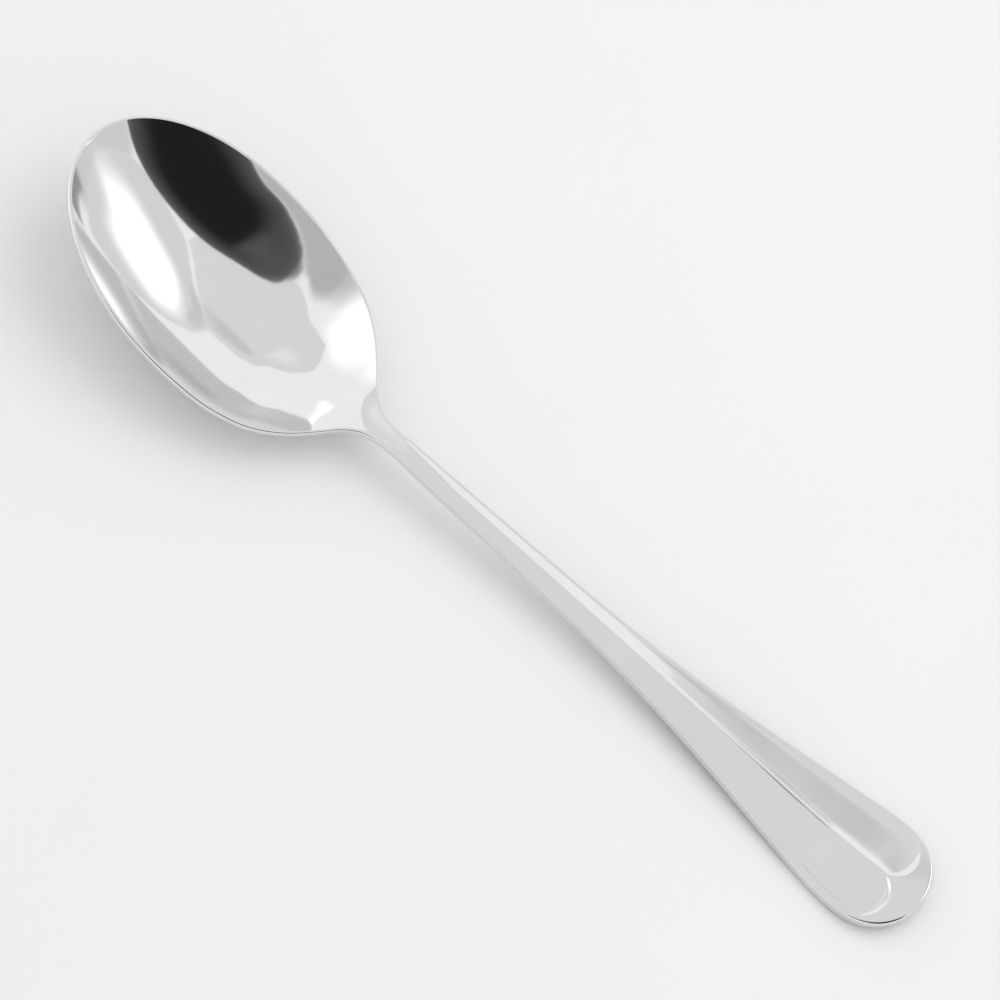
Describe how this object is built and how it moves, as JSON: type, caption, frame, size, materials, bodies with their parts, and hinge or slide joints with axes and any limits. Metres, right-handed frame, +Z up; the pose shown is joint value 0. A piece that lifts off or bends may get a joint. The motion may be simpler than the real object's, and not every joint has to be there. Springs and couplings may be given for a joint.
{
  "type": "serving spoon",
  "caption": "Polished steel serving spoon with an egg-shaped bowl, a slender ridged stem and a flared handle with shallow flutes that end in scallops.",
  "frame": {"origin": "centre of the overall box, at the table the spoon rests on", "axes": "+X from the tip of the bowl towards the end of the handle, +Y across the spoon, +Z up out of the hollow of the bowl"},
  "size_m": [0.2354, 0.0536, 0.0248],
  "materials": {
    "polished_steel": "mirror-polished stainless steel with fine wear marks"
  },
  "bodies": {
    "root": {"bowl": "polished_steel", "neck": "polished_steel", "stem": "polished_steel", "handle": "polished_steel", "handle_end": "polished_steel"}
  },
  "joints": []
}
